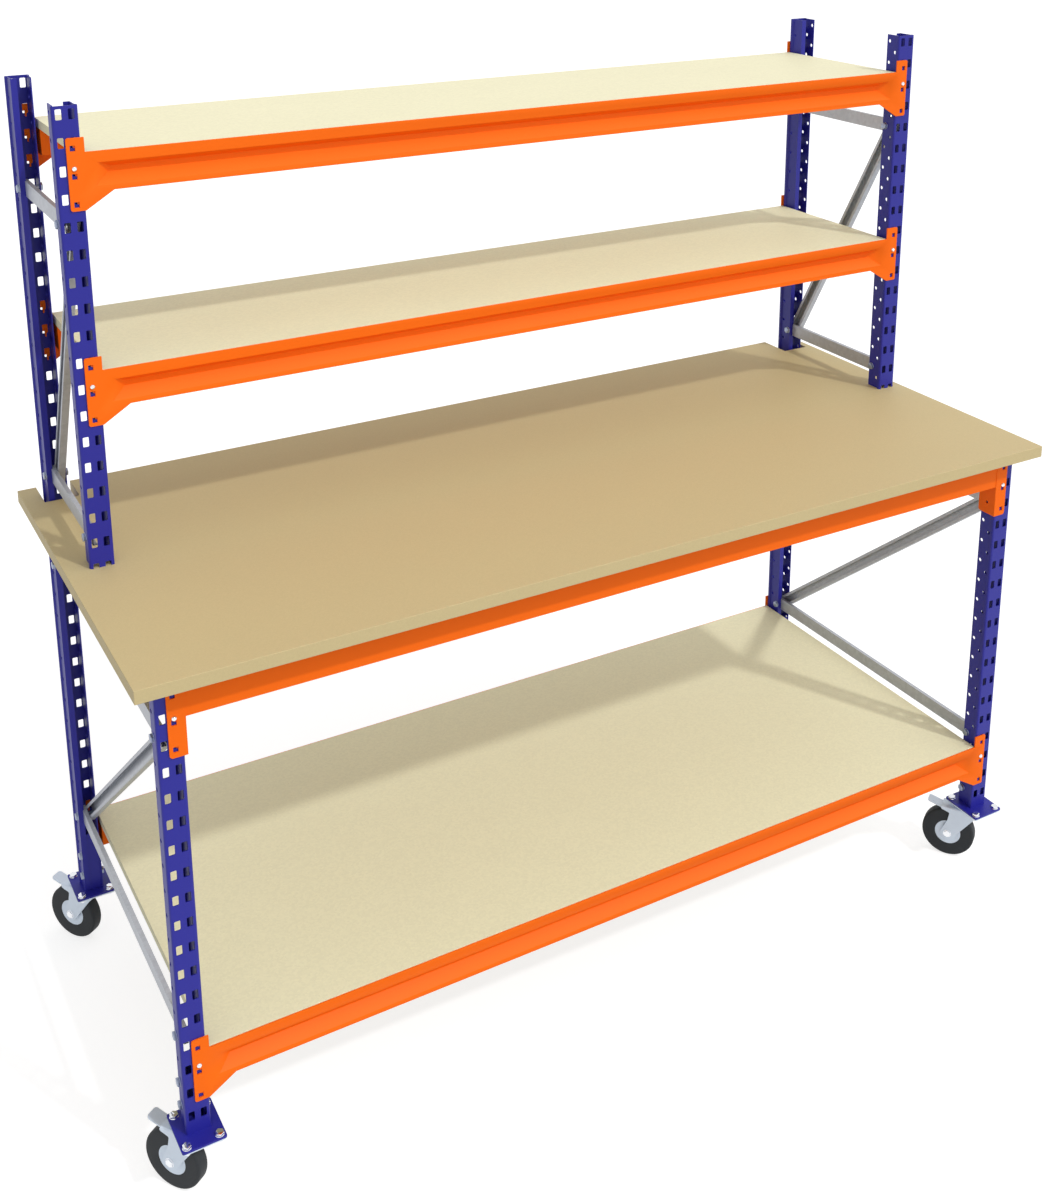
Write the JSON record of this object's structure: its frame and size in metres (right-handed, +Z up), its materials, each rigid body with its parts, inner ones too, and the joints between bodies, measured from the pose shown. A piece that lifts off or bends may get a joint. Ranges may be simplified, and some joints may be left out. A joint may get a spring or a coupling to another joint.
{
  "type": "mobile assembly table",
  "caption": "Mobile workbench of light racking: worktop on two braced ladder frames, hook-in shelf beams with panels below and above, on braked swivel castors.",
  "frame": {"origin": "middle of the whole outline, at floor level", "axes": "+X along the table's length, to the right of someone at its front; +Y from front to back; +Z up"},
  "size_m": [2.0332, 0.9448, 1.9532],
  "materials": {
    "upright": "gloss",
    "foot": "gloss",
    "beam": "gloss",
    "bracing": "galvanised",
    "worktop": "matt",
    "panel": "matt",
    "fastener": "zinc plated",
    "castor_metal": "zinc plated",
    "rim": "zinc plated",
    "tyre": "matt"
  },
  "bodies": {
    "table": {"upright_front_left": "upright", "upright_back_left": "upright", "upright_shelf_left": "upright", "foot_front_left": "foot", "foot_back_left": "foot", "lower_rail_bottom_left": "bracing", "lower_rail_top_left": "bracing", "lower_diagonal_left": "bracing", "upper_rail_bottom_left": "bracing", "upper_rail_top_left": "bracing", "upper_diagonal_left": "bracing", "upright_front_right": "upright", "upright_back_right": "upright", "upright_shelf_right": "upright", "foot_front_right": "foot", "foot_back_right": "foot", "lower_rail_bottom_right": "bracing", "lower_rail_top_right": "bracing", "lower_diagonal_right": "bracing", "upper_rail_bottom_right": "bracing", "upper_rail_top_right": "bracing", "upper_diagonal_right": "bracing", "beam_bottom_front": "beam", "beam_bottom_back": "beam", "panel_bottom": "panel", "beam_middle_front": "beam", "beam_middle_back": "beam", "panel_middle": "panel", "beam_top_front": "beam", "beam_top_back": "beam", "panel_top": "panel", "beam_worktop_front": "beam", "beam_worktop_back": "beam", "worktop": "worktop", "frame_bolts": "fastener", "castor_bolts": "fastener", "castor_plates": "castor_metal"},
    "castor_front_left": {"castor_fork_front_left": "castor_metal", "castor_axle_front_left": "castor_metal"},
    "wheel_front_left": {"castor_tyre_front_left": "tyre", "castor_rim_front_left": "rim"},
    "brake_front_left": {"castor_brake_pedal_front_left": "castor_metal"},
    "castor_front_right": {"castor_fork_front_right": "castor_metal", "castor_axle_front_right": "castor_metal"},
    "wheel_front_right": {"castor_tyre_front_right": "tyre", "castor_rim_front_right": "rim"},
    "brake_front_right": {"castor_brake_pedal_front_right": "castor_metal"},
    "castor_back_left": {"castor_fork_back_left": "castor_metal", "castor_axle_back_left": "castor_metal"},
    "wheel_back_left": {"castor_tyre_back_left": "tyre", "castor_rim_back_left": "rim"},
    "brake_back_left": {"castor_brake_pedal_back_left": "castor_metal"},
    "castor_back_right": {"castor_fork_back_right": "castor_metal", "castor_axle_back_right": "castor_metal"},
    "wheel_back_right": {"castor_tyre_back_right": "tyre", "castor_rim_back_right": "rim"},
    "brake_back_right": {"castor_brake_pedal_back_right": "castor_metal"}
  },
  "joints": [
    {"name": "swivel_front_left", "type": "hinge", "parent": "table", "child": "castor_front_left", "pos_m": [-0.94037, -0.39931, 0.1335], "axis": [0, 0, 1], "continuous": true},
    {"name": "wheel_spin_front_left", "type": "hinge", "parent": "castor_front_left", "child": "wheel_front_left", "pos_m": [-0.97007, -0.35626, 0.062], "axis": [0.8231, 0.5678, 0], "continuous": true},
    {"name": "brake_press_front_left", "type": "hinge", "parent": "castor_front_left", "child": "brake_front_left", "pos_m": [-0.97557, -0.34828, 0.1275], "axis": [-0.8231, -0.5678, 0], "range_deg": [0, 14]},
    {"name": "swivel_front_right", "type": "hinge", "parent": "table", "child": "castor_front_right", "pos_m": [0.96963, -0.39931, 0.1335], "axis": [0, 0, 1], "continuous": true},
    {"name": "wheel_spin_front_right", "type": "hinge", "parent": "castor_front_right", "child": "wheel_front_right", "pos_m": [0.93993, -0.35626, 0.062], "axis": [0.8231, 0.5678, 0], "continuous": true},
    {"name": "brake_press_front_right", "type": "hinge", "parent": "castor_front_right", "child": "brake_front_right", "pos_m": [0.93443, -0.34828, 0.1275], "axis": [-0.8231, -0.5678, 0], "range_deg": [0, 14]},
    {"name": "swivel_back_left", "type": "hinge", "parent": "table", "child": "castor_back_left", "pos_m": [-0.94037, 0.37049, 0.1335], "axis": [0, 0, 1], "continuous": true},
    {"name": "wheel_spin_back_left", "type": "hinge", "parent": "castor_back_left", "child": "wheel_back_left", "pos_m": [-0.97007, 0.41354, 0.062], "axis": [0.8231, 0.5678, 0], "continuous": true},
    {"name": "brake_press_back_left", "type": "hinge", "parent": "castor_back_left", "child": "brake_back_left", "pos_m": [-0.97557, 0.42152, 0.1275], "axis": [-0.8231, -0.5678, 0], "range_deg": [0, 14]},
    {"name": "swivel_back_right", "type": "hinge", "parent": "table", "child": "castor_back_right", "pos_m": [0.96963, 0.37049, 0.1335], "axis": [0, 0, 1], "continuous": true},
    {"name": "wheel_spin_back_right", "type": "hinge", "parent": "castor_back_right", "child": "wheel_back_right", "pos_m": [0.93993, 0.41354, 0.062], "axis": [0.8231, 0.5678, 0], "continuous": true},
    {"name": "brake_press_back_right", "type": "hinge", "parent": "castor_back_right", "child": "brake_back_right", "pos_m": [0.93443, 0.42152, 0.1275], "axis": [-0.8231, -0.5678, 0], "range_deg": [0, 14]}
  ]
}
